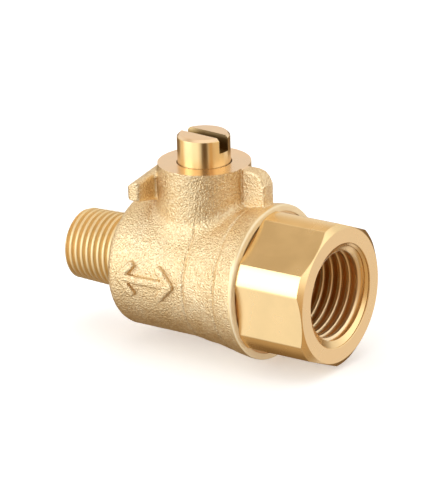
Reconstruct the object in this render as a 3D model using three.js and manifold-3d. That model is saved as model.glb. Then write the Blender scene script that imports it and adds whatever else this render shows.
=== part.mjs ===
// Quarter-turn mini ball valve with a bare, screwdriver-slotted stem.
// Male taper thread at -X, female port in a hexagon end connector at +X, stem up along +Z.
// Millimetres. The origin is under the middle of the valve, level with its lowest point.

import * as THREE from 'three';
import { mergeGeometries, mergeVertices } from 'three/addons/utils/BufferGeometryUtils.js';
import Module from 'manifold-3d';

const wasm = await Module();
wasm.setup();

// ---------- driving dimensions, measured from the ball centre ----------

const MALE_END = -19.95; // x of the male end face
const FEMALE_FACE = 20.65; // x of the female port face
const RIM_R = 10.2; // largest radius, the body's end rim

// Body casting
const SHOULDER = -10.16; // x of the shoulder behind the male thread
const BARREL_R = 8.93;
const SHOULDER_ROUND = 1.25;
const STEP_START = 1.0; // the low step over the ball chamber
const STEP_END = 3.2;
const STEP_R = 9.27;
const FLARE_START = 4.5; // the flare up to the end rim
const FLARE_END = 9.3;
const RIM_BACK = 10.1;
const BODY_FACE = 10.7; // x of the face that the connector meets
const RIM_BEVEL = 0.25;
const NECK_R = 6.06;
const NECK_TOP = 14.69;

// Lever-stop lugs beside the neck
const ARM = {
  outerX: -7.6,
  innerX: -5.75,
  tipY: -6.85,
  tipLow: 10.0,
  tipHigh: 12.55,
  rootHigh: 13.45,
  rootLow: 8.7,
};
const RIB = { frontY: -0.55, backY: 1.6, outerX: 9.65, top: 14.55, low: 7.0, round: 1.4 };

// Threads: R1/8 outside, G1/4 inside
const MALE = { pitch: 0.907, crest: 4.72, root: 4.14, taper: 1 / 32, end: -11.2, chamfer: 0.35 };
const FEMALE = { pitch: 1.337, crest: 6.58, root: 5.72, start: 11.0, end: 20.35 };
const NECKDOWN_R = 4.5; // plain stretch between the male thread and the shoulder

// Waterway and chamber
const MALE_BORE_R = 3.1;
const CHAMBER_R = 6.5;
const CHAMBER_START = -6.65;
const CONNECTOR_BORE_R = 7.9;
const CONNECTOR_BORE_START = 5.2;

// End connector
const HEX_ACROSS_FLATS = 17.9;
const HEX_CORNER_R = 9.6;
const HEX_TURN = THREE.MathUtils.degToRad(23.8); // from -Y up to the nearest corner
const PORT_FACE_R = 8.81;
const PORT_CHAMFER = 0.5;
const MOUTH_R = 6.84;
const MOUTH_DEPTH = 0.2;
const MOUTH_CONE = 0.6;
const SPIGOT_R = 7.8;
const SPIGOT_START = 5.3;
const SEAT_POCKET_END = 6.65;
const CONNECTOR_PORT_R = 4.0;
const THREAD_RELIEF_R = 6.2;

// Ball, seats and stem
const BALL_R = 6.2;
const PORT_R = 3.25;
const BALL_SLOT = { width: 2.6, floor: 4.55 };
const SEAT = { outer: 6.4, inner: 4.0, back: 6.6, front: 3.9, gap: 0.15 };
const STEM_R = 3.45;
const STEM_BORE_R = 3.61;
const STEM_TOP = 18.53;
const STEM_CHAMFER = 0.35;
const COLLAR = { radius: 4.7, low: 6.5, high: 8.0 };
const RECESS = { radius: 4.9, top: 8.5 };
const TANG = { thickness: 2.4, width: 6.0, low: 4.7 };
const SLOT = { width: 1.72, depth: 2.03, turn: THREE.MathUtils.degToRad(-5) };
const WASHER = { inner: 3.56, outer: 4.75, low: 8.04, high: 8.46 };
const ORING = { heights: [10.6, 12.9], mean: 3.1, section: 0.45, grooveR: 2.6, grooveWidth: 1.2 };

const JOINT_GAP = 0.04; // between faces that meet
const ROUND = 48; // sides of the large round surfaces
const SMALL_ROUND = 32;

// ---------- materials ----------

function finish(color, roughness, metalness) {
  return new THREE.MeshStandardMaterial({ color, roughness, metalness });
}

const castBrass = finish(0xdcbf84, 0.5, 0.9);
const turnedBrass = finish(0xe0b878, 0.28, 1.0);
const chrome = finish(0xd8dadc, 0.1, 1.0);
const ptfe = finish(0xf2f1ec, 0.6, 0.0);
const nitrile = finish(0x1c1c1e, 0.75, 0.0);

// ---------- solid helpers ----------

// Welds the corners of a closed geometry, drops the collapsed triangles and points its faces out.
function weld(geometry) {
  geometry.deleteAttribute('normal');
  geometry.deleteAttribute('uv');
  const welded = mergeVertices(geometry, 1e-4);
  const corners = welded.getAttribute('position');
  const kept = [];
  const index = welded.getIndex().array;
  const at = [new THREE.Vector3(), new THREE.Vector3(), new THREE.Vector3()];
  let volume = 0;
  for (let i = 0; i < index.length; i += 3) {
    const [a, b, c] = index.slice(i, i + 3);
    if (a === b || b === c || c === a) continue;
    kept.push(a, b, c);
    at[0].fromBufferAttribute(corners, a);
    at[1].fromBufferAttribute(corners, b);
    at[2].fromBufferAttribute(corners, c);
    volume += at[0].dot(at[1].cross(at[2]));
  }
  welded.setIndex(volume < 0 ? kept.reverse() : kept);
  return welded;
}

function toSolid(geometry) {
  const welded = weld(geometry);
  const vertProperties = new Float32Array(welded.getAttribute('position').array);
  const triVerts = new Uint32Array(welded.getIndex().array);
  return new wasm.Manifold(new wasm.Mesh({ numProp: 3, vertProperties, triVerts }));
}

function toGeometry(solid) {
  const mesh = solid.getMesh();
  const geometry = new THREE.BufferGeometry();
  geometry.setAttribute('position', new THREE.BufferAttribute(mesh.vertProperties, 3));
  geometry.setIndex(new THREE.BufferAttribute(mesh.triVerts, 1));
  return geometry;
}

const union = (...solids) => solids.reduce((whole, next) => whole.add(next));
const cut = (solid, ...tools) => tools.reduce((rest, tool) => rest.subtract(tool), solid);

// Revolves an outline of [along, radius] points. It starts and ends on the axis, or closes on itself.
function lathe(outline, sides) {
  return new THREE.LatheGeometry(outline.map(([along, radius]) => new THREE.Vector2(radius, along)), sides);
}

const alongX = (geometry) => geometry.rotateZ(-Math.PI / 2);
const alongZ = (geometry) => geometry.rotateX(Math.PI / 2);
const turnedX = (outline, sides = ROUND) => toSolid(alongX(lathe(outline, sides)));
const turnedZ = (outline, sides = SMALL_ROUND) => toSolid(alongZ(lathe(outline, sides)));
const rod = (low, high, radius) => [[low, 0], [low, radius], [high, radius], [high, 0]];
const across = (width) => [-width / 2, width / 2];

function block(x, y, z) {
  const size = [x[1] - x[0], y[1] - y[0], z[1] - z[0]];
  const middle = [(x[0] + x[1]) / 2, (y[0] + y[1]) / 2, (z[0] + z[1]) / 2];
  return new THREE.BoxGeometry(...size).translate(...middle);
}

// A quarter-ellipse of outline points from one [along, radius] corner to another.
function quarter(from, to, steps = 4) {
  const points = [];
  for (let i = 0; i <= steps; i++) {
    const angle = (Math.PI / 2) * (i / steps);
    points.push([
      from[0] + (to[0] - from[0]) * (1 - Math.cos(angle)),
      from[1] + (to[1] - from[1]) * Math.sin(angle),
    ]);
  }
  return points;
}

// A right-hand screw thread along +X, as a full rod. The rows of a lathe are slid along the axis by one
// pitch over a full turn, so every row follows the crest or the root.
function screw({ pitch, crest, root, taper = 0, chamfer = 0 }, start, end, sides) {
  const quarterPitch = pitch / 4;
  const rows = Math.ceil((end - start) / quarterPitch);
  const wave = [crest, crest, root, root];
  const radiusAt = (x, angle) => {
    const phase = ((x - start) / quarterPitch - (4 * angle) / (2 * Math.PI) + 400) % 4;
    const step = Math.floor(phase);
    const plain = THREE.MathUtils.lerp(wave[step], wave[(step + 1) % 4], phase - step);
    const bevel = chamfer > 0 ? root + chamfer + (x - start) : Infinity;
    return Math.min(plain + taper * (x - start), bevel);
  };
  const outline = [[0, 0]];
  for (let row = -4; row <= rows; row++) outline.push([row, 1]);
  outline.push([rows, 0]);
  const geometry = lathe(outline, sides);
  const corners = geometry.getAttribute('position');
  for (let side = 0; side <= sides; side++) {
    const angle = (side / sides) * 2 * Math.PI;
    for (let point = 0; point < outline.length; point++) {
      const slid = start + (point - 5) * quarterPitch + (pitch * angle) / (2 * Math.PI);
      const x = THREE.MathUtils.clamp(slid, start, end);
      const onAxis = point === 0 || point === outline.length - 1;
      const along = point === 0 ? start : onAxis ? end : x;
      const radius = onAxis ? 0 : radiusAt(x, angle % (2 * Math.PI));
      const corner = side * outline.length + point;
      corners.setXYZ(corner, radius * Math.sin(angle), along, radius * Math.cos(angle));
    }
  }
  return toSolid(alongX(geometry));
}

// ---------- sub-parts ----------

function barrel() {
  return turnedX([
    [SHOULDER, 0],
    ...quarter([SHOULDER, BARREL_R - SHOULDER_ROUND], [SHOULDER + SHOULDER_ROUND, BARREL_R]),
    [STEP_START, BARREL_R],
    [STEP_END, STEP_R],
    [FLARE_START, STEP_R + 0.05],
    [FLARE_END, RIM_R - 0.07],
    [RIM_BACK, RIM_R],
    [BODY_FACE - RIM_BEVEL, RIM_R],
    [BODY_FACE, RIM_R - RIM_BEVEL],
    [BODY_FACE, 0],
  ]);
}

// The arm on the -X side of the neck, which runs toward -Y and stops a lever at one end of its travel.
function stopArm() {
  const side = new THREE.Shape([
    new THREE.Vector2(1.5, 7.0),
    new THREE.Vector2(-2.6, ARM.rootLow),
    new THREE.Vector2(ARM.tipY + 0.5, ARM.tipLow),
    new THREE.Vector2(ARM.tipY, ARM.tipLow + 0.6),
    new THREE.Vector2(ARM.tipY, ARM.tipHigh - 0.3),
    new THREE.Vector2(ARM.tipY + 0.4, ARM.tipHigh),
    new THREE.Vector2(-0.5, ARM.rootHigh),
    new THREE.Vector2(1.5, ARM.rootHigh),
  ]);
  const plate = new THREE.ExtrudeGeometry(side, { depth: ARM.innerX - ARM.outerX, bevelEnabled: false });
  plate.rotateX(Math.PI / 2).rotateZ(Math.PI / 2).translate(ARM.outerX, 0, 0);
  return union(toSolid(plate), toSolid(block([ARM.outerX, -3], [0, 1.5], [6, ARM.rootHigh])));
}

// The radial rib on the +X side of the neck, which stops the lever at the other end.
function stopRib() {
  const { outerX, top, low, round } = RIB;
  const side = new THREE.Shape();
  side.moveTo(3, low);
  side.lineTo(outerX, low);
  side.lineTo(outerX, top - round);
  side.absarc(outerX - round, top - round, round, 0, Math.PI / 2);
  side.lineTo(3, top);
  const plate = new THREE.ExtrudeGeometry(side, {
    depth: RIB.backY - RIB.frontY,
    bevelEnabled: false,
    curveSegments: 4,
  });
  return toSolid(plate.rotateX(Math.PI / 2).translate(0, RIB.backY, 0));
}

function valveBody() {
  const casting = union(
    barrel(),
    screw(MALE, MALE_END, MALE.end, 28),
    turnedX(rod(MALE.end - 0.3, SHOULDER + 0.5, NECKDOWN_R), SMALL_ROUND),
    turnedZ(rod(0, NECK_TOP, NECK_R), ROUND),
    stopArm(),
    stopRib(),
  );
  return cut(
    casting,
    turnedX(rod(MALE_END - 1, 0, MALE_BORE_R), SMALL_ROUND),
    turnedX(rod(CHAMBER_START, CONNECTOR_BORE_START + 1, CHAMBER_R)),
    turnedX(rod(CONNECTOR_BORE_START, BODY_FACE + 1, CONNECTOR_BORE_R)),
    turnedZ(rod(0, RECESS.top, RECESS.radius)),
    turnedZ(rod(0, NECK_TOP + 1, STEM_BORE_R)),
  );
}

function endConnector() {
  const hexStart = BODY_FACE + JOINT_GAP;
  const turnedOutline = turnedX([
    [SPIGOT_START, 0],
    [SPIGOT_START, SPIGOT_R],
    [hexStart, SPIGOT_R],
    [hexStart, HEX_CORNER_R],
    [FEMALE_FACE - PORT_CHAMFER, HEX_CORNER_R],
    [FEMALE_FACE, PORT_FACE_R],
    [FEMALE_FACE, 0],
  ]);
  const cornerR = HEX_ACROSS_FLATS / 2 / Math.cos(Math.PI / 6);
  const hexagon = new THREE.CylinderGeometry(cornerR, cornerR, FEMALE_FACE - SPIGOT_START + 2, 6);
  alongX(hexagon).rotateX(Math.PI / 2 - HEX_TURN).translate((FEMALE_FACE + SPIGOT_START) / 2, 0, 0);
  return cut(
    turnedOutline.intersect(toSolid(hexagon)),
    turnedX(rod(SPIGOT_START - 1, SEAT_POCKET_END, CHAMBER_R)),
    turnedX(rod(SPIGOT_START, FEMALE.start, CONNECTOR_PORT_R), SMALL_ROUND),
    turnedX(rod(FEMALE.start - 1.2, FEMALE.start + 0.3, THREAD_RELIEF_R), SMALL_ROUND),
    screw(FEMALE, FEMALE.start, FEMALE.end, 32),
    turnedX([
      [FEMALE_FACE - MOUTH_DEPTH - MOUTH_CONE, 0],
      [FEMALE_FACE - MOUTH_DEPTH - MOUTH_CONE, FEMALE.root],
      [FEMALE_FACE - MOUTH_DEPTH, MOUTH_R],
      [FEMALE_FACE + 1, MOUTH_R],
      [FEMALE_FACE + 1, 0],
    ]),
  );
}

// The ball's slot crosses its port, so that when the valve is shut the ball can float onto its seat.
function ball() {
  const arc = [];
  for (let i = 0; i <= 16; i++) {
    const angle = Math.PI * (i / 16);
    arc.push([-BALL_R * Math.cos(angle), BALL_R * Math.sin(angle)]);
  }
  return cut(
    turnedX(arc, SMALL_ROUND),
    turnedX(rod(-BALL_R - 1, BALL_R + 1, PORT_R), SMALL_ROUND),
    toSolid(block(across(BALL_SLOT.width), across(2 * BALL_R), [BALL_SLOT.floor, BALL_R + 1])),
  );
}

// A seat ring on the +X side of the ball, hollowed to the ball's radius.
function seatRing() {
  const hollow = BALL_R + SEAT.gap;
  const hollowX = (radius) => Math.sqrt(hollow * hollow - radius * radius);
  const faceR = Math.sqrt(hollow * hollow - SEAT.front * SEAT.front);
  const outline = [[SEAT.front, SEAT.outer], [SEAT.back, SEAT.outer], [SEAT.back, SEAT.inner]];
  for (let i = 0; i <= 4; i++) {
    const radius = SEAT.inner + (faceR - SEAT.inner) * (i / 4);
    outline.push([hollowX(radius), radius]);
  }
  outline.push(outline[0]);
  return turnedX(outline, ROUND);
}

function stem() {
  const { grooveR, grooveWidth, heights } = ORING;
  const outline = rod(COLLAR.low, COLLAR.high, COLLAR.radius);
  outline[3][1] = STEM_R;
  for (const height of heights) {
    outline.push([height - grooveWidth / 2, STEM_R], [height - grooveWidth / 2, grooveR]);
    outline.push([height + grooveWidth / 2, grooveR], [height + grooveWidth / 2, STEM_R]);
  }
  outline.push([STEM_TOP - STEM_CHAMFER, STEM_R], [STEM_TOP, STEM_R - STEM_CHAMFER], [STEM_TOP, 0]);
  const tang = block(across(TANG.thickness), across(TANG.width), [TANG.low, COLLAR.low + 0.5]);
  const slot = block(across(2 * STEM_R + 2), across(SLOT.width), [STEM_TOP - SLOT.depth, STEM_TOP + 1]);
  return cut(union(turnedZ(outline, 40), toSolid(tang)), toSolid(slot.rotateZ(SLOT.turn)));
}

function thrustWasher() {
  const { inner, outer, low, high } = WASHER;
  return turnedZ([[low, inner], [low, outer], [high, outer], [high, inner], [low, inner]]);
}

const stemOring = () => new THREE.TorusGeometry(ORING.mean, ORING.section, 8, 28);

// ---------- assembly ----------

const valve = new THREE.Group();
valve.position.set(-(MALE_END + FEMALE_FACE) / 2, 0, RIM_R);

function place(name, geometry, material, parent = valve) {
  const mesh = new THREE.Mesh(geometry, material);
  mesh.name = name;
  parent.add(mesh);
  return mesh;
}

place('valve_body', toGeometry(valveBody()), castBrass);
place('end_connector', toGeometry(endConnector()), turnedBrass);
place('ball', toGeometry(ball()), chrome);
place('seat_ring_female_side', toGeometry(seatRing()), ptfe);
place('seat_ring_male_side', toGeometry(seatRing()), ptfe).rotation.z = Math.PI;
place('stem', toGeometry(stem()), turnedBrass);
place('stem_thrust_washer', toGeometry(thrustWasher()), ptfe);
place('stem_oring_lower', weld(stemOring()), nitrile).position.z = ORING.heights[0];
place('stem_oring_upper', weld(stemOring()), nitrile).position.z = ORING.heights[1];

const group = new THREE.Group();
group.add(valve);

export default group;
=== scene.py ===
"""Looks for the slotted-stem mini ball valve: a blasted casting with turned ends, in a plain pale studio."""

import math

import bmesh
import bpy
import numpy as np
from mathutils import Matrix, Vector


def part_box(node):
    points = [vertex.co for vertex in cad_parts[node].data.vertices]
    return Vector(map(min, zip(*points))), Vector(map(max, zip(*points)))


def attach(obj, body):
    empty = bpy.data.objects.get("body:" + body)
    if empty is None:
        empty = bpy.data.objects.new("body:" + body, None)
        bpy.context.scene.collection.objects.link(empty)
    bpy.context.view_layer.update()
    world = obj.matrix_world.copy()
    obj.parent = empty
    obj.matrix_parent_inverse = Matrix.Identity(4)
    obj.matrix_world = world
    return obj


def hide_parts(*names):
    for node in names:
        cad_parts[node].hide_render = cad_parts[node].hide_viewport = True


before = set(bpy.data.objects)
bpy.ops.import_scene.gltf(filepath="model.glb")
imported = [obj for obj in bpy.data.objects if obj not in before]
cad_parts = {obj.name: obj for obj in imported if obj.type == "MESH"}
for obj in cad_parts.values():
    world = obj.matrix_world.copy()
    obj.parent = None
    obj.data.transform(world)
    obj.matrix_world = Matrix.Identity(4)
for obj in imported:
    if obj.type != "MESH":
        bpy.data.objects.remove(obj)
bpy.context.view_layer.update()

MM = 0.001
TAU = 2 * math.pi

# The ball centre in the frame: over the O-rings' middle in x, and one rim radius up in z.
ring_low, ring_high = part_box("stem_oring_lower")
body_low, body_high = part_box("valve_body")
CENTRE = Vector(((ring_low[0] + ring_high[0]) / 2, 0, (body_high[1] - body_low[1]) / 2))

# ---------- driving dimensions, in mm from the ball centre ----------

MALE_END = (body_low[0] - CENTRE.x) / MM
FEMALE_FACE = (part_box("end_connector")[1][0] - CENTRE.x) / MM
NECK_TOP = (body_high[2] - CENTRE.z) / MM
STEM_TOP = (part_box("stem")[1][2] - CENTRE.z) / MM
RIM_R = CENTRE.z / MM

SHOULDER = -10.16
BARREL_R = 8.93
SHOULDER_ROUND = 1.3
RIM_BACK = 10.1
BODY_FACE = 10.7
BODY_FACE_R = 9.33
RECESS = 0.12  # how far the casting is faced back behind the hexagon
NECK_R = 6.06
NECK_FILLET = 1.25
# (x, radius) along the cast barrel: low step, cast crease, middle step, crease, flare to the rim
BARREL = [(-12, 8.93), (0.4, 8.93), (1.6, 9.02), (2.6, 9.18), (3.4, 9.26), (4.6, 9.32), (6.0, 9.52),
          (7.4, 9.78), (8.6, 10.0), (9.5, 10.14), (10.2, 10.2), (12, 10.2)]
CREASES = [(2.35, 0.17, 0.2), (7.42, 0.15, 0.2)]  # x, depth, half width

MALE_PITCH, MALE_CREST, MALE_ROOT, MALE_THREAD_END = 0.907, 4.72, 4.14, -11.2
MALE_TAPER, MALE_TIP_R, MALE_FADE = 1 / 32, 4.32, 0.8  # growth per mm, radius at the tip, run-out length
FEMALE_PITCH, FEMALE_CREST, FEMALE_ROOT, FEMALE_START = 1.337, 6.58, 5.72, 11.0
NECKDOWN_R = 4.5
MALE_BORE_R = 3.1
CHAMBER_R = 6.5
CONNECTOR_BORE_R = 7.9
CONNECTOR_BORE_START = 5.2

HEX_FLAT = 17.9 / 2
HEX_CORNER_R = 9.6
HEX_TURN = math.radians(23.8)
PORT_FACE_R = 8.81
PORT_CHAMFER = 0.5
MOUTH_R = 6.84
MOUTH_DEPTH = 0.2
MOUTH_CONE = 0.6
THREAD_MOUTH = FEMALE_FACE - MOUTH_DEPTH - MOUTH_CONE  # where the cone meets the thread
SPIGOT_R = 7.8
SPIGOT_START = 5.3
SEAT_POCKET_END = 6.65
PORT_R = 4.0
THREAD_RELIEF_R = 6.2

BALL_R = 6.2
BALL_PORT_R = 3.25
BALL_SLOT_WIDTH, BALL_SLOT_FLOOR = 2.6, 4.55
SEAT_INNER, SEAT_OUTER, SEAT_FRONT, SEAT_BACK, SEAT_GAP = 4.0, 6.4, 3.9, 6.6, 0.1
STEM_R = 3.45
STEM_BORE_R = 3.58
STEM_CHAMFER = 0.36
COLLAR_R, COLLAR_LOW, COLLAR_HIGH = 4.7, 6.5, 8.0
RECESS_R, RECESS_TOP = 4.9, 8.5  # the room for the collar and the washer inside the neck
TANG_WIDTH, TANG_THICKNESS, TANG_LOW = 6.0, 2.4, 4.7
SLOT_WIDTH, SLOT_DEPTH, SLOT_TURN = 1.72, 2.03, math.radians(-5)
WASHER_INNER, WASHER_OUTER, WASHER_LOW, WASHER_HIGH = 3.56, 4.75, 8.04, 8.46
ORING_HEIGHTS, ORING_MIDDLE_R, ORING_SECTION_R = (10.6, 12.9), 3.1, 0.46
GROOVE_ROOT_R, GROOVE_WIDTH = 2.6, 1.2

# Lever-stop lugs: a flat arm on the male side and a rib on the female side
ARM_X = (-7.65, -5.45)
ARM_OUTLINE = [(3.0, 6.0), (0.0, 8.7), (-2.6, 9.2), (-6.0, 9.85), (-6.85, 10.15), (-6.9, 12.85), (-0.6, 13.8),
               (1.2, 13.0), (3.0, 9.0)]
ARM_EDGE, ARM_TOP_SLANT, ARM_ROOT_FILLET = 0.75, 0.37, 0.9
RIB_Y = (-0.55, 1.6)
RIB_OUTLINE = [(2.0, 6.0), (9.65, 6.0), (9.65, 12.9), (9.2, 13.8), (8.6, 14.35), (7.6, 14.6), (2.0, 14.6)]
RIB_EDGE = 0.3
SEAM_R, SEAM_LOW = 0.24, 10.3  # the sunk line between the neck and the rib

# The raised double-headed flow arrow: strokes along the pipe and around it, with their half width
ARROW_CENTRE = (-3.6, 0.3)
ARROW_REACH, ARROW_BARB, ARROW_STROKE, ARROW_HEIGHT = 4.0, 1.8, 0.55, 0.6

# The view, with azimuths from -Y toward +X in degrees
VIEW_AZIMUTH, VIEW_ELEVATION, VIEW_ROLL = 35.37, 19.74, -1.748
VIEW_DISTANCE = 513.3
VIEW_SHIFT = Vector((1.285, 2.648))  # how far the middle of the view lies right of and above the ball centre
LENS, SENSOR_HEIGHT = 286.94, 36


# ---------- mesh helpers ----------


def to_frame(points):
    return np.asarray(points, float) * MM + np.array(CENTRE)


def new_piece(name, points, faces):
    """A piece whose points are given in mm from the ball centre."""
    mesh = bpy.data.meshes.new(name)
    mesh.from_pydata(to_frame(points).tolist(), [], faces)
    mesh.validate()
    piece = bpy.data.objects.new(name, mesh)
    bpy.context.scene.collection.objects.link(piece)
    return piece


def rounded(outline, radii, steps=5):
    """An outline with some corners turned to arcs. radii maps a corner's index to its radius."""
    points = [np.array(p, float) for p in outline]
    result = []
    for i, corner in enumerate(points):
        radius = radii.get(i, 0)
        if not radius:
            result.append(tuple(corner))
            continue
        before = points[i - 1] - corner
        after = points[(i + 1) % len(points)] - corner
        before /= np.linalg.norm(before)
        after /= np.linalg.norm(after)
        half = math.acos(float(np.clip(before @ after, -1, 1))) / 2
        reach = radius / math.tan(half)
        middle = corner + (before + after) / np.linalg.norm(before + after) * radius / math.sin(half)
        start, end = corner + before * reach - middle, corner + after * reach - middle
        for k in range(steps + 1):
            blend = k / steps
            arm = start * (1 - blend) + end * blend
            result.append(tuple(middle + arm / np.linalg.norm(arm) * radius))
    return result


def ring_points(along, radius, angle, axis):
    if axis == "x":
        return np.stack([along, -radius * np.sin(angle), radius * np.cos(angle)], -1)
    return np.stack([radius * np.cos(angle), radius * np.sin(angle), along], -1)


def sweep(name, along, radius, axis):
    """A closed piece from rows by sides. The first and last rows lie on the axis, or the rows close."""
    rows, sides = along.shape
    angle = np.broadcast_to(np.arange(sides) * TAU / sides, along.shape)
    points = ring_points(along, radius, angle, axis).reshape(-1, 3)
    index = np.arange(rows * sides).reshape(rows, sides)
    a, b = index[:-1], index[1:]
    quads = np.stack([a, np.roll(a, -1, 1), np.roll(b, -1, 1), b], -1).reshape(-1, 4)
    piece = new_piece(name, points, quads.tolist())
    weld(piece)
    return piece


def weld(piece, distance=2e-7):
    mesh = bmesh.new()
    mesh.from_mesh(piece.data)
    bmesh.ops.remove_doubles(mesh, verts=mesh.verts, dist=distance)
    bmesh.ops.dissolve_degenerate(mesh, edges=mesh.edges, dist=distance)
    bmesh.ops.recalc_face_normals(mesh, faces=mesh.faces)
    mesh.to_mesh(piece.data)
    mesh.free()


def lathe(name, outline, axis="x", sides=128):
    """Revolves (along, radius) points that start and end on the axis, or close on themselves."""
    outline = np.array(outline, float)
    along = np.repeat(outline[:, :1], sides, 1)
    radius = np.repeat(outline[:, 1:], sides, 1)
    return sweep(name, along, radius, axis)


def rod(name, low, high, radius, axis="x", sides=128):
    return lathe(name, [(low, 0), (low, radius), (high, radius), (high, 0)], axis, sides)


def block(name, low, high, turn=0.0):
    corners = [(x, y, z) for x in (low[0], high[0]) for y in (low[1], high[1]) for z in (low[2], high[2])]
    cos, sin = math.cos(turn), math.sin(turn)
    corners = [(x * cos - y * sin, x * sin + y * cos, z) for x, y, z in corners]
    faces = [(0, 1, 3, 2), (4, 6, 7, 5), (0, 4, 5, 1), (2, 3, 7, 6), (0, 2, 6, 4), (1, 5, 7, 3)]
    return new_piece(name, corners, faces)


def boolean(piece, operation, *tools):
    for tool in tools:
        step = piece.modifiers.new("boolean", "BOOLEAN")
        step.operation = operation
        step.solver = "MANIFOLD"
        step.object = tool
        bpy.context.view_layer.update()
        made = bpy.data.meshes.new_from_object(piece.evaluated_get(bpy.context.evaluated_depsgraph_get()))
        piece.modifiers.clear()
        made.materials.clear()
        old, piece.data = piece.data, made
        bpy.data.meshes.remove(old)
        bpy.data.objects.remove(tool)
    if not piece.data.polygons:
        raise RuntimeError(piece.name + " came out empty")
    return piece


def thread_form(phase, crest, root, lean, steep):
    """Radius over one pitch of a rounded thread. A lean above zero widens its roots, one below its crests."""
    middle, half = (crest + root) / 2, (crest - root) / 2
    return middle + half * np.tanh(steep * (np.cos(TAU * phase) - lean)) / math.tanh(steep)


def screw(name, pitch, crest, root, start, end, taper=0.0, bevel=None, fade=0.0, lean=0.0, steep=1.9,
          sides=144):
    """A right-hand threaded rod along +X. Its rows slide one pitch along the axis in a full turn."""
    per_pitch = 14
    count = math.ceil((end - start) / pitch * per_pitch)
    rows = np.arange(-per_pitch, count + 1)[:, None]
    angle = (np.arange(sides + 1) * TAU / sides)[None, :]
    along = np.clip(start + (rows / per_pitch + angle / TAU) * pitch, start, end)
    phase = (along - start) / pitch - angle / TAU
    low = np.full_like(along, root)
    if fade:
        low = root + (crest - root) * np.clip((along - end + fade) / fade, 0, 1) * 0.5
    radius = thread_form(phase, crest, low, lean, steep) + taper * (along - start)
    if bevel:
        radius = np.minimum(radius, bevel + (along - start) * 1.2)
    along = np.vstack([np.full((1, sides + 1), start), along, np.full((1, sides + 1), end)])
    radius = np.vstack([np.zeros((1, sides + 1)), radius, np.zeros((1, sides + 1))])
    points = ring_points(along, radius, np.broadcast_to(angle, along.shape), "x")
    index = np.arange(along.size).reshape(along.shape)
    quads = np.stack([index[:-1, :-1], index[:-1, 1:], index[1:, 1:], index[1:, :-1]], -1).reshape(-1, 4)
    piece = new_piece(name, points.reshape(-1, 3), quads.tolist())
    weld(piece)
    return piece


def shade(piece, angle=28.0):
    piece.data.polygons.foreach_set("use_smooth", np.ones(len(piece.data.polygons), bool))
    piece.data.set_sharp_from_angle(angle=math.radians(angle))
    piece.data.update()


# ---------- the casting, as a distance field ----------


def smooth_union(a, b, radius):
    """Both shapes together, with a fillet where they meet."""
    u = np.maximum(radius - a, 0)
    v = np.maximum(radius - b, 0)
    return np.maximum(radius, np.minimum(a, b)) - np.hypot(u, v)


def smooth_both(a, b, radius):
    """What both shapes share, with a round where they meet."""
    u = np.maximum(radius + a, 0)
    v = np.maximum(radius + b, 0)
    return np.minimum(-radius, np.maximum(a, b)) + np.hypot(u, v)


def barrel_radius(x):
    """The cast barrel's radius along the pipe, softened and with its two creases."""
    xs, radii = np.array(BARREL).T
    fine = np.linspace(xs[0], xs[-1], 481)
    smooth = np.convolve(np.pad(np.interp(fine, xs, radii), 9, "edge"), np.ones(19) / 19, "valid")
    radius = np.interp(x, fine, smooth)
    for centre, depth, half in CREASES:
        radius = radius - depth * np.exp(-(((x - centre) / half) ** 2))
    return radius


def barrel_field(x, y, z):
    radial = np.sqrt(y * y + z * z) - barrel_radius(x)
    return smooth_both(radial, SHOULDER - x, SHOULDER_ROUND)


def neck_field(x, y, z):
    side = np.sqrt(x * x + y * y) - NECK_R
    return np.maximum(side, -z)


def polygon_distance(u, v, corners):
    """Signed distance to a closed outline, negative inside."""
    best = np.full(u.shape, 1e9)
    sign = np.ones(u.shape)
    count = len(corners)
    for i in range(count):
        (x0, y0), (x1, y1) = corners[i], corners[(i + 1) % count]
        ex, ey = x1 - x0, y1 - y0
        wx, wy = u - x0, v - y0
        t = np.clip((wx * ex + wy * ey) / (ex * ex + ey * ey), 0, 1)
        best = np.minimum(best, (wx - ex * t) ** 2 + (wy - ey * t) ** 2)
        above, below, left = v >= y0, v < y1, ex * wy > ey * wx
        sign = np.where((above & below & left) | (~above & ~below & ~left), -sign, sign)
    return sign * np.sqrt(best)


def plate_field(across, u, v, low, high, outline, edge):
    """A flat plate with rounded edges: an outline in (u, v), between low and high across."""
    flat = polygon_distance(u, v, outline) + edge
    thick = np.abs(across - (low + high) / 2) - (high - low) / 2 + edge
    return np.hypot(np.maximum(flat, 0), np.maximum(thick, 0)) + np.minimum(np.maximum(flat, thick), 0) - edge


def arm_field(x, y, z):
    slanted = z + (ARM_X[1] - x) * ARM_TOP_SLANT * np.clip(z - 10.8, 0, 1)
    return plate_field(x, y, slanted, *ARM_X, ARM_OUTLINE, ARM_EDGE)


def rib_field(x, y, z):
    return plate_field(y, x, z, *RIB_Y, RIB_OUTLINE, RIB_EDGE)


def arrow_field(x, y, z):
    """A plain raised double-headed flow arrow on the front of the barrel."""
    u = np.abs(x - ARROW_CENTRE[0])
    v = np.abs(np.arctan2(z, -y) * BARREL_R - ARROW_CENTRE[1])
    tip = (ARROW_REACH, 0)
    barb = (ARROW_REACH - ARROW_BARB, ARROW_BARB)
    stroke = np.minimum(line_distance(u, v, tip, barb), line_distance(u, v, (0, 0), tip))
    height = np.sqrt(y * y + z * z) - BARREL_R - ARROW_HEIGHT
    return smooth_both(smooth_both(stroke - ARROW_STROKE, height, 0.3), y, 0.05)


def line_distance(u, v, start, end):
    ex, ey = end[0] - start[0], end[1] - start[1]
    t = np.clip(((u - start[0]) * ex + (v - start[1]) * ey) / (ex * ex + ey * ey), 0, 1)
    return np.hypot(u - start[0] - ex * t, v - start[1] - ey * t)


def near(points, low, high):
    return np.all((points > np.array(low)) & (points < np.array(high)), axis=1)


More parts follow.
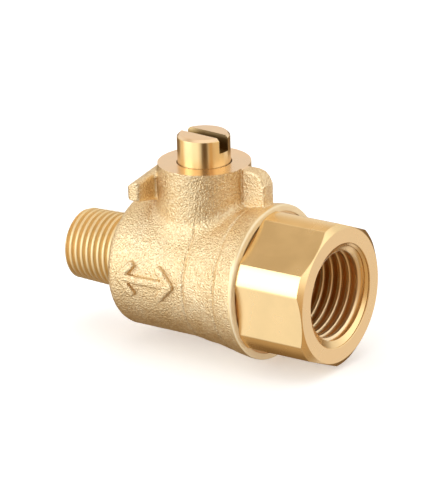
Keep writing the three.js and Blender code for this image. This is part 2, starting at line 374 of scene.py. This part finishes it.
def casting_field(points):
    """Distance to the whole casting, for an n by 3 array in mm from the ball centre."""
    x, y, z = points.T
    field = smooth_union(barrel_field(x, y, z), neck_field(x, y, z), NECK_FILLET)
    for low, high, part, fillet in (
        ((-9, -9, 4), (-3, 5, 15), arm_field, 0.3),
        ((3, -3, 5), (12, 4, 16), rib_field, 0.15),
        ((-9.5, -11, -4), (1.5, 0, 4), arrow_field, 0.12),
    ):
        inside = near(points, low, high)
        here = points[inside].T
        field[inside] = smooth_union(field[inside], part(*here), fillet)
        if part is arm_field:
            root = smooth_union(neck_field(*here), arm_field(*here), ARM_ROOT_FILLET)
            field[inside] = np.minimum(field[inside], root)
        if part is rib_field:
            seam = np.hypot(here[0] - NECK_R - 0.02, here[1] - RIB_Y[0]) - SEAM_R
            field[inside] = smooth_both(field[inside], -np.maximum(seam, SEAM_LOW - here[2]), 0.08)
    return field


def surface_nets(field, low, step):
    """Vertices and quads of the zero surface of a sampled field."""
    inside = field < 0
    shape = tuple(n - 1 for n in field.shape)
    total = np.zeros(shape + (3,), np.float32)
    count = np.zeros(shape, np.int8)
    cell = [slice(0, -1), slice(1, None)]
    crossings = []
    for axis in range(3):
        others = [a for a in range(3) if a != axis]
        first = [slice(None)] * 3
        second = [slice(None)] * 3
        first[axis], second[axis] = cell
        f0, f1 = field[tuple(first)], field[tuple(second)]
        crossed = inside[tuple(first)] != inside[tuple(second)]
        t = np.where(crossed, f0 / np.where(crossed, f0 - f1, 1), 0).astype(np.float32)
        crossings.append((axis, others, crossed, inside[tuple(first)]))
        for i in (0, 1):
            for j in (0, 1):
                part = [slice(None)] * 3
                part[others[0]], part[others[1]] = cell[i], cell[j]
                hit = crossed[tuple(part)]
                count += hit
                total[..., axis] += np.where(hit, t[tuple(part)], 0)
                total[..., others[0]] += hit * np.float32(i)
                total[..., others[1]] += hit * np.float32(j)
    active = np.argwhere(count > 0)
    index = np.full(shape, -1, np.int64)
    index[tuple(active.T)] = np.arange(len(active))
    points = low + (active + total[tuple(active.T)] / count[tuple(active.T)][:, None]) * step
    quads = []
    for axis, (b, c), crossed, start_inside in crossings:
        at = np.argwhere(crossed)
        at = at[(at[:, b] > 0) & (at[:, c] > 0) & (at[:, b] < shape[b]) & (at[:, c] < shape[c])]
        flip = start_inside[tuple(at.T)] != (axis == 1)
        corner = []
        for db, dc in ((1, 1), (0, 1), (0, 0), (1, 0)):
            shifted = at.copy()
            shifted[:, b] -= db
            shifted[:, c] -= dc
            corner.append(index[tuple(shifted.T)])
        quad = np.stack(corner, -1)
        quads.append(np.where(flip[:, None], quad, quad[:, ::-1]))
    return points, np.vstack(quads)


def lumps(points, size, seed):
    """Smooth value noise between -1 and 1 with lumps of the given size."""
    rng = np.random.default_rng(seed)
    lattice = rng.uniform(-1, 1, (64, 64, 64)).astype(np.float32)
    grid = points / size
    base = np.floor(grid).astype(int)
    part = grid - base
    part = part * part * (3 - 2 * part)
    value = 0
    for corner in np.ndindex(2, 2, 2):
        weight = np.prod(np.where(corner, part, 1 - part), axis=1)
        value = value + weight * lattice[tuple(((base + corner) % 64).T)]
    return value


def casting():
    """The casting as a mesh. It runs past the rim's face and the neck's top, where tools cut it later."""
    step = 0.14
    low = np.array([-10.6, -10.7, -10.7])
    high = np.array([11.2, 10.7, 15.7])
    counts = np.ceil((high - low) / step).astype(int)
    axes = [low[a] + step * np.arange(counts[a]) for a in range(3)]
    field = np.empty(counts, np.float32)
    for i, x in enumerate(axes[0]):
        y, z = np.meshgrid(axes[1], axes[2], indexing="ij")
        slab = np.stack([np.full(y.size, x), y.ravel(), z.ravel()], -1)
        field[i] = casting_field(slab).reshape(y.shape)
    field[0], field[-1] = 1, 1
    field[:, :, -1] = 1
    points, quads = surface_nets(field, low, step)
    # Points away from the sampled box's ends move onto the true surface, and then get a slight unevenness.
    free = near(points, low + 2 * step, (11.0 - 2 * step, 99, high[2] - 2 * step))
    moved = points[free]
    small = 0.01
    for _ in range(2):
        value = casting_field(moved)
        slope = np.stack([(casting_field(moved + small * e) - casting_field(moved - small * e)) / (2 * small)
                          for e in np.eye(3)], -1)
        length = np.maximum((slope**2).sum(1), 0.25)
        moved = moved - slope * (value / length)[:, None]
    unit = slope / np.sqrt(length)[:, None]
    rough = 0.018 * lumps(moved, 1.3, 3) + 0.012 * lumps(moved, 0.55, 4)
    points[free] = moved + unit * rough[:, None]
    return new_piece("valve_body_visual", points, quads.tolist())


def valve_body():
    piece = casting()
    weld(piece, 1e-8)
    far = 16.0
    envelope = lathe("envelope", [
        (-13, 0), (-13, far), (RIM_BACK, far), (RIM_BACK, RIM_R + 0.02), (BODY_FACE - 0.24, RIM_R - 0.02),
        (BODY_FACE - 0.1, RIM_R - 0.08), (BODY_FACE - 0.02, RIM_R - 0.18), (BODY_FACE, RIM_R - 0.3),
        (BODY_FACE, BODY_FACE_R), (BODY_FACE - RECESS, BODY_FACE_R - 0.05), (BODY_FACE - RECESS, 0),
    ], sides=192)
    boolean(piece, "INTERSECT", envelope)
    boolean(piece, "DIFFERENCE", block("above_neck", (-12, -12, NECK_TOP), (12, 12, NECK_TOP + 5)))
    thread = screw("male_thread", MALE_PITCH, MALE_CREST, MALE_ROOT, MALE_END, MALE_THREAD_END,
                   taper=MALE_TAPER, bevel=MALE_TIP_R, fade=MALE_FADE, lean=-0.3, steep=2.3)
    necked = rod("necked", MALE_THREAD_END - 0.2, SHOULDER + 0.6, NECKDOWN_R)
    boolean(piece, "UNION", thread, necked)
    bevel = 0.3
    bore = lathe("bore", [
        (MALE_END - 1, 0), (MALE_END - 1, MALE_BORE_R + bevel + 1), (MALE_END + bevel, MALE_BORE_R),
        (0, MALE_BORE_R), (0, 0),
    ])
    chamber = rod("chamber", -SEAT_POCKET_END, CONNECTOR_BORE_START + 1, CHAMBER_R)
    connector_bore = rod("connector_bore", CONNECTOR_BORE_START, BODY_FACE + 1, CONNECTOR_BORE_R)
    recess = rod("recess", 0, RECESS_TOP, RECESS_R, "z")
    stem_bore = lathe("stem_bore", [
        (0, 0), (0, STEM_BORE_R), (NECK_TOP - 0.04, STEM_BORE_R), (NECK_TOP + 0.5, STEM_BORE_R + 0.54),
        (NECK_TOP + 0.5, 0),
    ], "z")
    boolean(piece, "DIFFERENCE", bore, chamber, connector_bore, recess, stem_bore)
    return piece


# ---------- turned pieces ----------


def hexagon():
    """The hexagon's outer solid as a radius over angle, with turned corners and small soft edges."""
    sides = 960
    angle = np.arange(sides) * TAU / sides
    from_flat = (angle - (math.pi / 2 - HEX_TURN) + TAU) % (math.pi / 3) - math.pi / 6
    flat = HEX_FLAT / np.cos(from_flat)
    soft = 0.05

    def soft_least(a, b):
        blend = np.clip(0.5 + 0.5 * (b - a) / soft, 0, 1)
        return b * (1 - blend) + a * blend - soft * blend * (1 - blend)

    ends = np.linspace(0, 1, 25)
    nose = 0.85
    xs = np.concatenate([
        np.linspace(BODY_FACE + 0.02, FEMALE_FACE - nose, 24), FEMALE_FACE - nose + nose * ends[1:-1] ** 0.8,
        [FEMALE_FACE - 0.012, FEMALE_FACE - 0.003, FEMALE_FACE],
    ])
    rows = []
    for x in xs:
        front = PORT_FACE_R + (FEMALE_FACE - x) * (HEX_CORNER_R - PORT_FACE_R) / PORT_CHAMFER
        rows.append(soft_least(soft_least(flat, HEX_CORNER_R), np.full(sides, front)))
    radius = np.vstack([np.zeros(sides)] + rows + [np.zeros(sides)])
    along = np.repeat(np.concatenate([xs[:1], xs, xs[-1:]])[:, None], sides, 1)
    return sweep("end_connector_visual", along, radius, "x")


def end_connector():
    piece = hexagon()
    outline = [(SPIGOT_START, 0), (SPIGOT_START, SPIGOT_R), (12, SPIGOT_R), (12, 0)]
    spigot = lathe("spigot", rounded(outline, {1: 0.3}))
    boolean(piece, "UNION", spigot)
    pocket = rod("pocket", SPIGOT_START - 1, SEAT_POCKET_END, CHAMBER_R)
    port = rod("port", SPIGOT_START, FEMALE_START + 0.2, PORT_R)
    relief = rod("relief", FEMALE_START - 1.2, FEMALE_START + 0.5, THREAD_RELIEF_R)
    tap = screw("tap", FEMALE_PITCH, FEMALE_CREST, FEMALE_ROOT, FEMALE_START, FEMALE_FACE - 0.3,
                lean=0.25, sides=192)
    edge, past = 0.08, 0.5
    mouth = lathe("mouth", [
        (THREAD_MOUTH, 0), (THREAD_MOUTH, FEMALE_ROOT + 0.04), (FEMALE_FACE - MOUTH_DEPTH, MOUTH_R),
        (FEMALE_FACE - edge, MOUTH_R), (FEMALE_FACE + past, MOUTH_R + past + edge), (FEMALE_FACE + past, 0),
    ], sides=192)
    boolean(piece, "DIFFERENCE", pocket, port, relief, tap, mouth)
    return piece


def stem():
    outline = [(COLLAR_LOW, 0), (COLLAR_LOW, COLLAR_R), (COLLAR_HIGH, COLLAR_R), (COLLAR_HIGH, STEM_R)]
    for height in ORING_HEIGHTS:
        low, high = height - GROOVE_WIDTH / 2, height + GROOVE_WIDTH / 2
        outline += [(low, STEM_R), (low, GROOVE_ROOT_R), (high, GROOVE_ROOT_R), (high, STEM_R)]
    outline += [(STEM_TOP - STEM_CHAMFER, STEM_R), (STEM_TOP, STEM_R - STEM_CHAMFER), (STEM_TOP, 0)]
    last = len(outline) - 1
    outline = rounded(outline, {1: 0.2, 2: 0.2, last - 2: 0.18, last - 1: 0.12}, 4)
    piece = lathe("stem_visual", outline, "z", 160)
    tang = block("tang", (-TANG_THICKNESS / 2, -TANG_WIDTH / 2, TANG_LOW),
                 (TANG_THICKNESS / 2, TANG_WIDTH / 2, COLLAR_LOW + 0.4))
    boolean(piece, "UNION", tang)
    slot = block("slot", (-5, -SLOT_WIDTH / 2, STEM_TOP - SLOT_DEPTH), (5, SLOT_WIDTH / 2, STEM_TOP + 1),
                 SLOT_TURN)
    boolean(piece, "DIFFERENCE", slot)
    return piece


def ball():
    steps = 64
    turns = [math.pi * i / steps for i in range(steps + 1)]
    arc = [(-BALL_R * math.cos(turn), BALL_R * math.sin(turn)) for turn in turns]
    piece = lathe("ball_visual", arc)
    edge = 0.25
    reach = math.sqrt(BALL_R**2 - BALL_PORT_R**2)
    wide = BALL_PORT_R + BALL_R - reach + edge
    port = lathe("ball_port", [
        (-BALL_R, 0), (-BALL_R, wide), (-reach + edge, BALL_PORT_R),
        (reach - edge, BALL_PORT_R), (BALL_R, wide), (BALL_R, 0),
    ])
    slot = block("ball_slot", (-BALL_SLOT_WIDTH / 2, -BALL_R - 1, BALL_SLOT_FLOOR),
                 (BALL_SLOT_WIDTH / 2, BALL_R + 1, BALL_R + 1))
    boolean(piece, "DIFFERENCE", port, slot)
    return piece


def seat(name, side):
    """A ring with a hollow that follows the ball. side is 1 toward the female end and -1 toward the male."""
    hollow = BALL_R + SEAT_GAP
    outline = [(SEAT_FRONT, SEAT_OUTER), (SEAT_BACK, SEAT_OUTER), (SEAT_BACK, SEAT_INNER)]
    steps = 12
    for i in range(steps + 1):
        radius = SEAT_INNER + (math.sqrt(hollow**2 - SEAT_FRONT**2) - SEAT_INNER) * i / steps
        outline.append((math.sqrt(hollow**2 - radius**2), radius))
    outline = rounded(outline, {0: 0.15, 1: 0.25, 2: 0.2}, 4)
    outline = [(side * along, radius) for along, radius in outline]
    return lathe(name, outline + outline[:1])


def washer():
    edge = 0.06
    outline = [(WASHER_LOW, WASHER_INNER), (WASHER_LOW, WASHER_OUTER), (WASHER_HIGH, WASHER_OUTER),
               (WASHER_HIGH, WASHER_INNER)]
    outline = rounded(outline, dict.fromkeys(range(4), edge), 3)
    return lathe("stem_thrust_washer_visual", outline + [(WASHER_LOW, WASHER_INNER + edge)], "z")


def oring(name, height):
    turns = np.linspace(0, TAU, 25)
    circle = [(height + ORING_SECTION_R * math.sin(turn), ORING_MIDDLE_R + ORING_SECTION_R * math.cos(turn))
              for turn in turns]
    return lathe(name, circle, "z")


# ---------- materials ----------


class Nodes:
    """Adds shader nodes to a material or world, with short calls."""

    def __init__(self, owner):
        owner.use_nodes = True
        self.tree = owner.node_tree
        self.tree.nodes.clear()

    def add(self, kind, inputs=(), **settings):
        node = self.tree.nodes.new(kind)
        for key, value in settings.items():
            setattr(node, key, value)
        for key, value in dict(inputs).items():
            self.put(node, key, value)
        return node

    def put(self, node, key, value):
        if isinstance(value, bpy.types.NodeSocket):
            self.tree.links.new(value, node.inputs[key])
        else:
            node.inputs[key].default_value = value

    def math(self, operation, *values, clamp=False):
        node = self.add("ShaderNodeMath", operation=operation, use_clamp=clamp)
        for i, value in enumerate(values):
            self.put(node, i, value)
        return node.outputs[0]

    def noise(self, place, scale, detail=2.0, roughness=0.5):
        return self.add("ShaderNodeTexNoise", {"Vector": place, "Scale": scale, "Detail": detail,
                                               "Roughness": roughness}).outputs["Fac"]

    def ramp(self, value, *stops):
        node = self.add("ShaderNodeValToRGB", {"Fac": value})
        elements = node.color_ramp.elements
        while len(elements) < len(stops):
            elements.new(0.5)
        for element, (position, colour) in zip(elements, stops):
            element.position = position
            element.color = (*colour, 1) if len(colour) == 3 else colour
        return node.outputs["Color"]

    def scaled(self, value, low, high, from_low=0.0, from_high=1.0):
        node = self.add("ShaderNodeMapRange", {"Value": value, "From Min": from_low, "From Max": from_high,
                                               "To Min": low, "To Max": high})
        return node.outputs["Result"]

    def mix(self, factor, first, second, **settings):
        inputs = {0: factor, 6: first, 7: second}
        return self.add("ShaderNodeMix", inputs, data_type="RGBA", **settings).outputs[2]

    def bump(self, height, strength, distance):
        node = self.add("ShaderNodeBump", {"Height": height, "Strength": strength, "Distance": distance})
        return node.outputs[0]

    def surface(self, **inputs):
        """A Principled shader into the output. Input names have _ for their spaces."""
        inputs = {key.replace("_", " "): value for key, value in inputs.items()}
        shader = self.add("ShaderNodeBsdfPrincipled", inputs)
        self.add("ShaderNodeOutputMaterial", {"Surface": shader.outputs[0]})


def start_material(name):
    """A new material, its nodes and the place on the object in metres."""
    material = bpy.data.materials.new(name)
    nodes = Nodes(material)
    return material, nodes, nodes.add("ShaderNodeTexCoord").outputs["Object"]


def cast_brass():
    """Shot-blasted casting skin: fine dimples, bright and dark specks and a slow cloudiness."""
    material, nodes, place = start_material("cast_brass_blasted")
    dimples = nodes.add("ShaderNodeTexVoronoi", {"Vector": place, "Scale": 5000}, feature="SMOOTH_F1")
    fine = nodes.add("ShaderNodeTexVoronoi", {"Vector": place, "Scale": 7000}, feature="F1")
    grain = nodes.noise(place, 3600, 2, 0.6)
    patch = nodes.noise(place, 420, 4, 0.55)
    broad = nodes.noise(place, 120, 2, 0.5)
    mixed = nodes.math("ADD", nodes.math("MULTIPLY", patch, 0.5), nodes.math("MULTIPLY", broad, 0.5))
    dark, plain, bright = (0.87, 0.66, 0.37), (0.94, 0.74, 0.45), (0.98, 0.81, 0.54)
    colour = nodes.ramp(mixed, (0.34, dark), (0.52, plain), (0.68, bright))
    sparkle = nodes.add("ShaderNodeSeparateColor", {0: fine.outputs["Color"]}).outputs[0]
    grain_speck = nodes.scaled(grain, 0.76, 1.12, 0.3, 0.7)
    speck = nodes.math("MULTIPLY", grain_speck, nodes.scaled(sparkle, 0.88, 1.08))
    red, blue = nodes.math("POWER", speck, 0.6), nodes.math("POWER", speck, 1.5)
    tint = nodes.add("ShaderNodeCombineColor", {0: red, 1: speck, 2: blue}).outputs[0]
    tinted = nodes.mix(1.0, colour, tint, blend_type="MULTIPLY")
    rough = nodes.scaled(patch, 0.38, 0.5, 0.35, 0.65)
    height = nodes.math("ADD", dimples.outputs["Distance"], nodes.math("MULTIPLY", grain, 0.8))
    bump = nodes.bump(height, 1.0, 0.11 * MM)
    nodes.surface(Base_Color=tinted, Metallic=1.0, Roughness=rough, Normal=bump)
    return material


def turned_brass(name, tone, roughness, grooves, axis, anisotropy=0.0):
    """Machined brass with fine concentric tool marks about the pipe's axis (x) or the stem's (z)."""
    material, nodes, place = start_material(name)
    centred = nodes.add("ShaderNodeVectorMath", {0: place, 1: tuple(CENTRE)}, operation="SUBTRACT").outputs[0]
    parts = nodes.add("ShaderNodeSeparateXYZ", {0: centred}).outputs
    if axis == "x":
        along, first, second = parts[0], parts[1], parts[2]
    else:
        along, first, second = parts[2], parts[0], parts[1]
    radius = nodes.math("SQRT", nodes.math("ADD", nodes.math("MULTIPLY", first, first),
                                           nodes.math("MULTIPLY", second, second)))
    line = nodes.add("ShaderNodeCombineXYZ", {0: nodes.math("ADD", along, radius)})
    ticks = nodes.noise(line.outputs[0], 9000, 2, 0.6)
    smear = nodes.noise(place, 160, 3, 0.5)
    dark, bright = tuple(0.93 * c for c in tone), tuple(min(1.05 * c, 1) for c in tone)
    colour = nodes.ramp(smear, (0.35, dark), (0.65, bright))
    rough = nodes.scaled(smear, roughness * 0.85, roughness * 1.15, 0.35, 0.65)
    bump = nodes.bump(ticks, grooves, 0.02 * MM)
    stretch = {}
    if anisotropy:
        around = nodes.add("ShaderNodeTangent", direction_type="RADIAL", axis=axis.upper()).outputs[0]
        stretch = {"Anisotropic": anisotropy, "Anisotropic_Rotation": 0.25, "Tangent": around}
    nodes.surface(Base_Color=colour, Metallic=1.0, Roughness=rough, Normal=bump, **stretch)
    return material


def simple(name, low, high, roughness, metallic, grain_scale, bump_strength):
    """A near-plain finish with slight cloudiness and a fine surface grain."""
    material, nodes, place = start_material(name)
    cloud = nodes.noise(place, 300, 3, 0.5)
    colour = nodes.ramp(cloud, (0.35, low), (0.65, high))
    rough = nodes.scaled(cloud, roughness * 0.85, roughness * 1.15, 0.35, 0.65)
    grain = nodes.noise(place, grain_scale, 2, 0.5)
    bump = nodes.bump(grain, bump_strength, 0.03 * MM)
    nodes.surface(Base_Color=colour, Metallic=metallic, Roughness=rough, Normal=bump)
    return material


def milled_brass_painted_shade():
    """The stem's slot: walls with painted shade, dark deep down and lighter toward the top edge, with fine
    cutter marks along them.
    """
    material, nodes, place = start_material("stem_slot_milled_painted_shade")
    height = nodes.add("ShaderNodeSeparateXYZ", {0: place}).outputs[2]
    top = CENTRE.z + STEM_TOP * MM
    # Painted shade: the slot walls' colour runs from dark deep down to light at the top edge.
    rise = nodes.scaled(height, 0.0, 1.0, top - 1.3 * MM, top - 0.1 * MM)
    cloud = nodes.scaled(nodes.noise(place, 900, 2, 0.5), -0.12, 0.12)
    deep_shade, middle, edge = (0.28, 0.165, 0.05), (0.36, 0.23, 0.08), (0.74, 0.55, 0.28)
    colour = nodes.ramp(nodes.math("ADD", rise, cloud), (0.1, deep_shade), (0.55, middle), (0.95, edge))
    marks = nodes.noise(nodes.add("ShaderNodeCombineXYZ", {0: height}).outputs[0], 6000, 2, 0.6)
    bump = nodes.bump(marks, 0.3, 0.02 * MM)
    nodes.surface(Base_Color=colour, Metallic=1.0, Roughness=0.45, Normal=bump)
    return material


# ---------- pieces ----------

CAST = cast_brass()
TURNED_X = turned_brass("turned_brass_pipe", (0.92, 0.66, 0.33), 0.26, 0.2, "x")
TURNED_Z = turned_brass("turned_brass_stem", (0.94, 0.68, 0.33), 0.32, 0.1, "z", 0.9)
# The stem slot's material, with painted shade down its walls.
SLOT = milled_brass_painted_shade()
TURNED_BODY = turned_brass("turned_brass_body", (0.93, 0.71, 0.40), 0.42, 0.25, "x")
THREAD_CREST = turned_brass("male_thread_crest", (0.90, 0.70, 0.39), 0.52, 0.25, "x")
THREAD_ROOT = turned_brass("male_thread_root", (0.94, 0.72, 0.44), 0.6, 0.25, "x")
RIM_FACE = simple("faced_rim", (0.93, 0.76, 0.48), (1.0, 0.85, 0.58), 0.5, 0.5, 5000, 0.3)
# Painted highlight and painted shade for the tapped thread: a lighter tone on its ridges, a darker browner
# one in its valleys.
RIDGE_PAINTED_HIGHLIGHT = turned_brass("tapped_ridge_painted_highlight", (1.0, 0.76, 0.47), 0.36, 0.2, "x")
VALLEY_PAINTED_SHADE = simple("tapped_valley_painted_shade", (0.84, 0.50, 0.17), (0.94, 0.58, 0.22), 0.42, 0.9, 5000, 0.2)
NECK_FACE = turned_brass("turned_brass_neck", (0.92, 0.66, 0.40), 0.3, 0.3, "z")
CHROME = simple("plated_ball", (0.80, 0.81, 0.82), (0.86, 0.86, 0.87), 0.1, 1.0, 3000, 0.03)
PTFE = simple("ptfe_white", (0.86, 0.85, 0.81), (0.93, 0.92, 0.89), 0.5, 0.0, 2500, 0.15)
NITRILE = simple("nitrile_black", (0.012, 0.012, 0.013), (0.025, 0.025, 0.026), 0.55, 0.0, 4000, 0.25)


def paint_body(piece):
    """The casting keeps its blasted skin where no tool has touched it."""
    for material in (CAST, TURNED_BODY, NECK_FACE, THREAD_ROOT, RIM_FACE, THREAD_CREST):
        piece.data.materials.append(material)
    cast, turned, neck, root, rim, crest = range(6)
    (x, y, z), normal = faces_of(piece)
    around_pipe = np.hypot(y, z)
    around_stem = np.hypot(x, y)
    slack = 0.03
    neck_face = (z > NECK_TOP - 0.14) & (normal[2] > 0.5) & (around_stem < NECK_R + 0.3)
    stem_bore = (around_stem < STEM_BORE_R + 0.15) & (z > 6)
    pipe = (x > RIM_BACK + slack) | ((x < SHOULDER - slack) & (around_pipe < 6)) | (x < SHOULDER - 0.5)
    chamber = (around_pipe < CONNECTOR_BORE_R + 0.1) & (z < RECESS_TOP + 0.1)
    inner = chamber & (around_stem > STEM_BORE_R + 0.2) & (around_stem < 8)
    slots = np.where(neck_face | stem_bore, neck, np.where(pipe | inner, turned, cast))
    thread = (x < MALE_THREAD_END) & (around_pipe > 4)
    valley = thread & (around_pipe < (MALE_CREST + MALE_ROOT) / 2 - 0.08)
    slots = np.where(thread, crest, slots)
    recess = (x > BODY_FACE - RECESS - 0.01) & (around_pipe > 8) & (around_pipe < BODY_FACE_R + 0.01)
    rim_face = (x > BODY_FACE - 0.2) & (around_pipe > 8)
    slots = np.where(valley | recess, root, np.where(rim_face, rim, slots))
    piece.data.polygons.foreach_set("material_index", slots.astype(np.int32))


def paint_connector(piece):
    """Bright turned outside; the tapped thread gets a painted highlight on its ridges and painted shade,
    darker and browner, in its valleys.
    """
    for material in (TURNED_X, RIDGE_PAINTED_HIGHLIGHT, VALLEY_PAINTED_SHADE):
        piece.data.materials.append(material)
    (x, y, z), _ = faces_of(piece)
    radius = np.hypot(y, z)
    tapped = (x > FEMALE_START) & (x < THREAD_MOUTH) & (radius < FEMALE_CREST + 0.1)
    # Painted shade goes in the thread's valleys, a painted highlight on its ridges.
    valley = radius > FEMALE_ROOT + 0.3
    piece.data.polygons.foreach_set(
        "material_index", np.where(tapped, np.where(valley, 2, 1), 0).astype(np.int32))


def faces_of(piece):
    """Face centres in mm from the ball centre, and face normals."""
    mesh = piece.data
    centres = np.zeros(len(mesh.polygons) * 3, np.float32)
    normals = np.zeros(len(mesh.polygons) * 3, np.float32)
    mesh.polygons.foreach_get("center", centres)
    mesh.polygons.foreach_get("normal", normals)
    return ((centres.reshape(-1, 3) - np.array(CENTRE)) / MM).T, normals.reshape(-1, 3).T


def paint_stem(piece):
    """The stem's side is turned, its top faced off, and its slot milled."""
    for material in (TURNED_Z, NECK_FACE, SLOT):
        piece.data.materials.append(material)
    (x, y, z), normal = faces_of(piece)
    top = (normal[2] > 0.5) & (z > STEM_TOP - 0.3)
    across = np.abs(y * math.cos(SLOT_TURN) - x * math.sin(SLOT_TURN))
    inside = (across < SLOT_WIDTH / 2 + 0.02) & (np.hypot(x, y) < STEM_R - 0.01)
    milled = inside & (z > STEM_TOP - SLOT_DEPTH - 0.05)
    slots = np.where(top, 1, np.where(milled, 2, 0))
    piece.data.polygons.foreach_set("material_index", slots.astype(np.int32))


def place_piece(piece, node, body, slot, *materials):
    for material in materials:
        piece.data.materials.append(material)
    shade(piece)
    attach(piece, body)
    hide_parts(node)


body_piece = valve_body()
paint_body(body_piece)
place_piece(body_piece, "valve_body", "body", "cast_brass")
connector_piece = end_connector()
paint_connector(connector_piece)
place_piece(connector_piece, "end_connector", "body", "machined_brass")
stem_piece = stem()
paint_stem(stem_piece)
place_piece(stem_piece, "stem", "stem", "machined_brass")
place_piece(ball(), "ball", "ball", "plated_ball", CHROME)
place_piece(seat("seat_ring_female_side_visual", 1), "seat_ring_female_side", "body", "ptfe", PTFE)
place_piece(seat("seat_ring_male_side_visual", -1), "seat_ring_male_side", "body", "ptfe", PTFE)
place_piece(washer(), "stem_thrust_washer", "body", "ptfe", PTFE)
for node, height in zip(("stem_oring_lower", "stem_oring_upper"), ORING_HEIGHTS):
    place_piece(oring(node + "_visual", height), node, "stem", "nitrile", NITRILE)


# ---------- studio ----------


def floor():
    """A pale floor that the metal doesn't reflect."""
    size = 3.0
    mesh = bpy.data.meshes.new("studio_floor")
    corners = [(-size, -size, 0), (size, -size, 0), (size, size, 0), (-size, size, 0)]
    mesh.from_pydata(corners, [], [(0, 1, 2, 3)])
    piece = bpy.data.objects.new("studio_floor", mesh)
    bpy.context.scene.collection.objects.link(piece)
    material = bpy.data.materials.new("studio_white")
    Nodes(material).surface(Base_Color=(0.95, 0.95, 0.95, 1), Roughness=0.9, Emission_Color=(1, 1, 1, 1),
                            Emission_Strength=0.32)
    mesh.materials.append(material)
    piece.visible_glossy = False


def studio_world():
    """A pale studio: each softbox or wall is a soft-edged patch of the sky, laid over a plain gradient."""
    world = bpy.data.worlds.new("studio")
    bpy.context.scene.world = world
    nodes = Nodes(world)
    direction = nodes.add("ShaderNodeTexCoord").outputs["Generated"]
    parts = nodes.add("ShaderNodeSeparateXYZ", {0: direction}).outputs
    azimuth = nodes.math("ARCTAN2", parts[0], nodes.math("MULTIPLY", parts[1], -1.0))
    elevation = nodes.math("ARCSINE", parts[2])

    def step(value, edge, soft, before, after):
        return nodes.add("ShaderNodeMapRange", {
            "Value": value, "From Min": math.radians(edge - soft), "From Max": math.radians(edge + soft),
            "To Min": before, "To Max": after}, interpolation_type="SMOOTHSTEP").outputs[0]

    def band(value, low, high, soft):
        return nodes.math("MULTIPLY", step(value, low, soft, 0.0, 1.0), step(value, high, soft, 1.0, 0.0))

    level = step(elevation, *LOWER_SKY)
    sky = nodes.add("ShaderNodeCombineColor", {0: level, 1: level, 2: level}).outputs[0]
    for (az_low, az_high), (el_low, el_high), soft, colour in PATCHES:
        across = band(azimuth, az_low, az_high, soft)
        patch = nodes.math("MULTIPLY", across, band(elevation, el_low, el_high, soft))
        sky = nodes.mix(patch, sky, (*colour, 1))
    seen = nodes.add("ShaderNodeLightPath").outputs["Is Camera Ray"]
    sky = nodes.mix(seen, sky, (1, 1, 1, 1))
    background = nodes.add("ShaderNodeBackground", {"Color": sky, "Strength": 1.0})
    nodes.add("ShaderNodeOutputWorld", {"Surface": background.outputs[0]})


# The plain sky: its edge's elevation and softness in degrees, and its brightness below and above
LOWER_SKY = (-38, 14, 0.38, 0.95)
# Azimuth from -Y toward +X, elevation and edge softness in degrees, and colour. Later ones go on top.
PATCHES = [
    ((-190, 190), (52, 100), 16, (1.15, 1.15, 1.15)),  # ceiling
    ((-190, -115), (27, 50), 6, (0.78, 0.62, 0.42)),  # warm wall, high behind
    ((-190, -86), (-75, 6), 5, (0.2, 0.12, 0.05)),  # dark wall, left and behind
    ((-83, -60), (-75, 15), 6, (0.92, 0.74, 0.5)),  # warm wall, left
    ((-95, -50), (-85, -38), 8, (0.58, 0.42, 0.24)),  # warm floor, left
    ((-72, -15), (38, 52), 4, (0.35, 0.24, 0.12)),  # dark gap above the key softbox
    ((-112, -55), (46, 76), 6, (0.64, 0.54, 0.42)),  # warm wall, high left
    ((-60, 12), (-42, -24), 8, (1.08, 1.08, 1.08)),  # table, front left
    ((-60, 12), (-25, -8), 4, (1.4, 1.42, 1.45)),  # bright table edge, front left
    ((-60, 12), (-8, 36), 5, (1.5, 1.56, 1.62)),  # key softbox, front left
    ((-55, -18), (6, 33), 4, (3.0, 3.3, 3.6)),  # its hot middle
    ((24, 52), (-80, 50), 4, (0.08, 0.04, 0.015)),  # dark behind the camera
    ((55, 76), (-75, 38), 5, (0.66, 0.42, 0.2)),  # warm wall, right
    ((76, 106), (-75, 38), 5, (0.62, 0.44, 0.25)),  # pale wall, right
    ((106, 130), (-75, 0), 5, (0.42, 0.3, 0.17)),  # brown wall, right and behind
    ((76, 134), (2, 32), 5, (1.5, 1.52, 1.5)),  # softbox, right
    ((134, 157), (-60, 5), 4, (0.98, 0.92, 0.94)),  # floor behind, right
    ((157, 190), (-75, 6), 4, (0.2, 0.12, 0.05)),  # dark wall behind
]


def camera():
    """The view from the front right, a little above, with a long lens."""
    azimuth, elevation, roll = (math.radians(a) for a in (VIEW_AZIMUTH, VIEW_ELEVATION, VIEW_ROLL))
    back = Vector((math.sin(azimuth) * math.cos(elevation), -math.cos(azimuth) * math.cos(elevation),
                   math.sin(elevation)))
    right = Vector((math.cos(azimuth), math.sin(azimuth), 0))
    up = back.cross(right)
    side = right * math.cos(roll) + up * math.sin(roll)
    top = up * math.cos(roll) - right * math.sin(roll)
    place = back * VIEW_DISTANCE + side * VIEW_SHIFT.x + top * VIEW_SHIFT.y
    lens = bpy.data.cameras.new("camera")
    lens.sensor_fit = "VERTICAL"
    lens.sensor_height = SENSOR_HEIGHT
    lens.lens = LENS
    lens.clip_start, lens.clip_end = 0.01, 20
    view = bpy.data.objects.new("camera", lens)
    bpy.context.scene.collection.objects.link(view)
    turn = Matrix((side, top, back)).transposed().to_4x4()
    view.matrix_world = Matrix.Translation(place * MM + CENTRE) @ turn
    bpy.context.scene.camera = view


floor()
studio_world()
camera()
bpy.context.scene.view_settings.view_transform = "Standard"
bpy.context.scene.view_settings.look = "None"
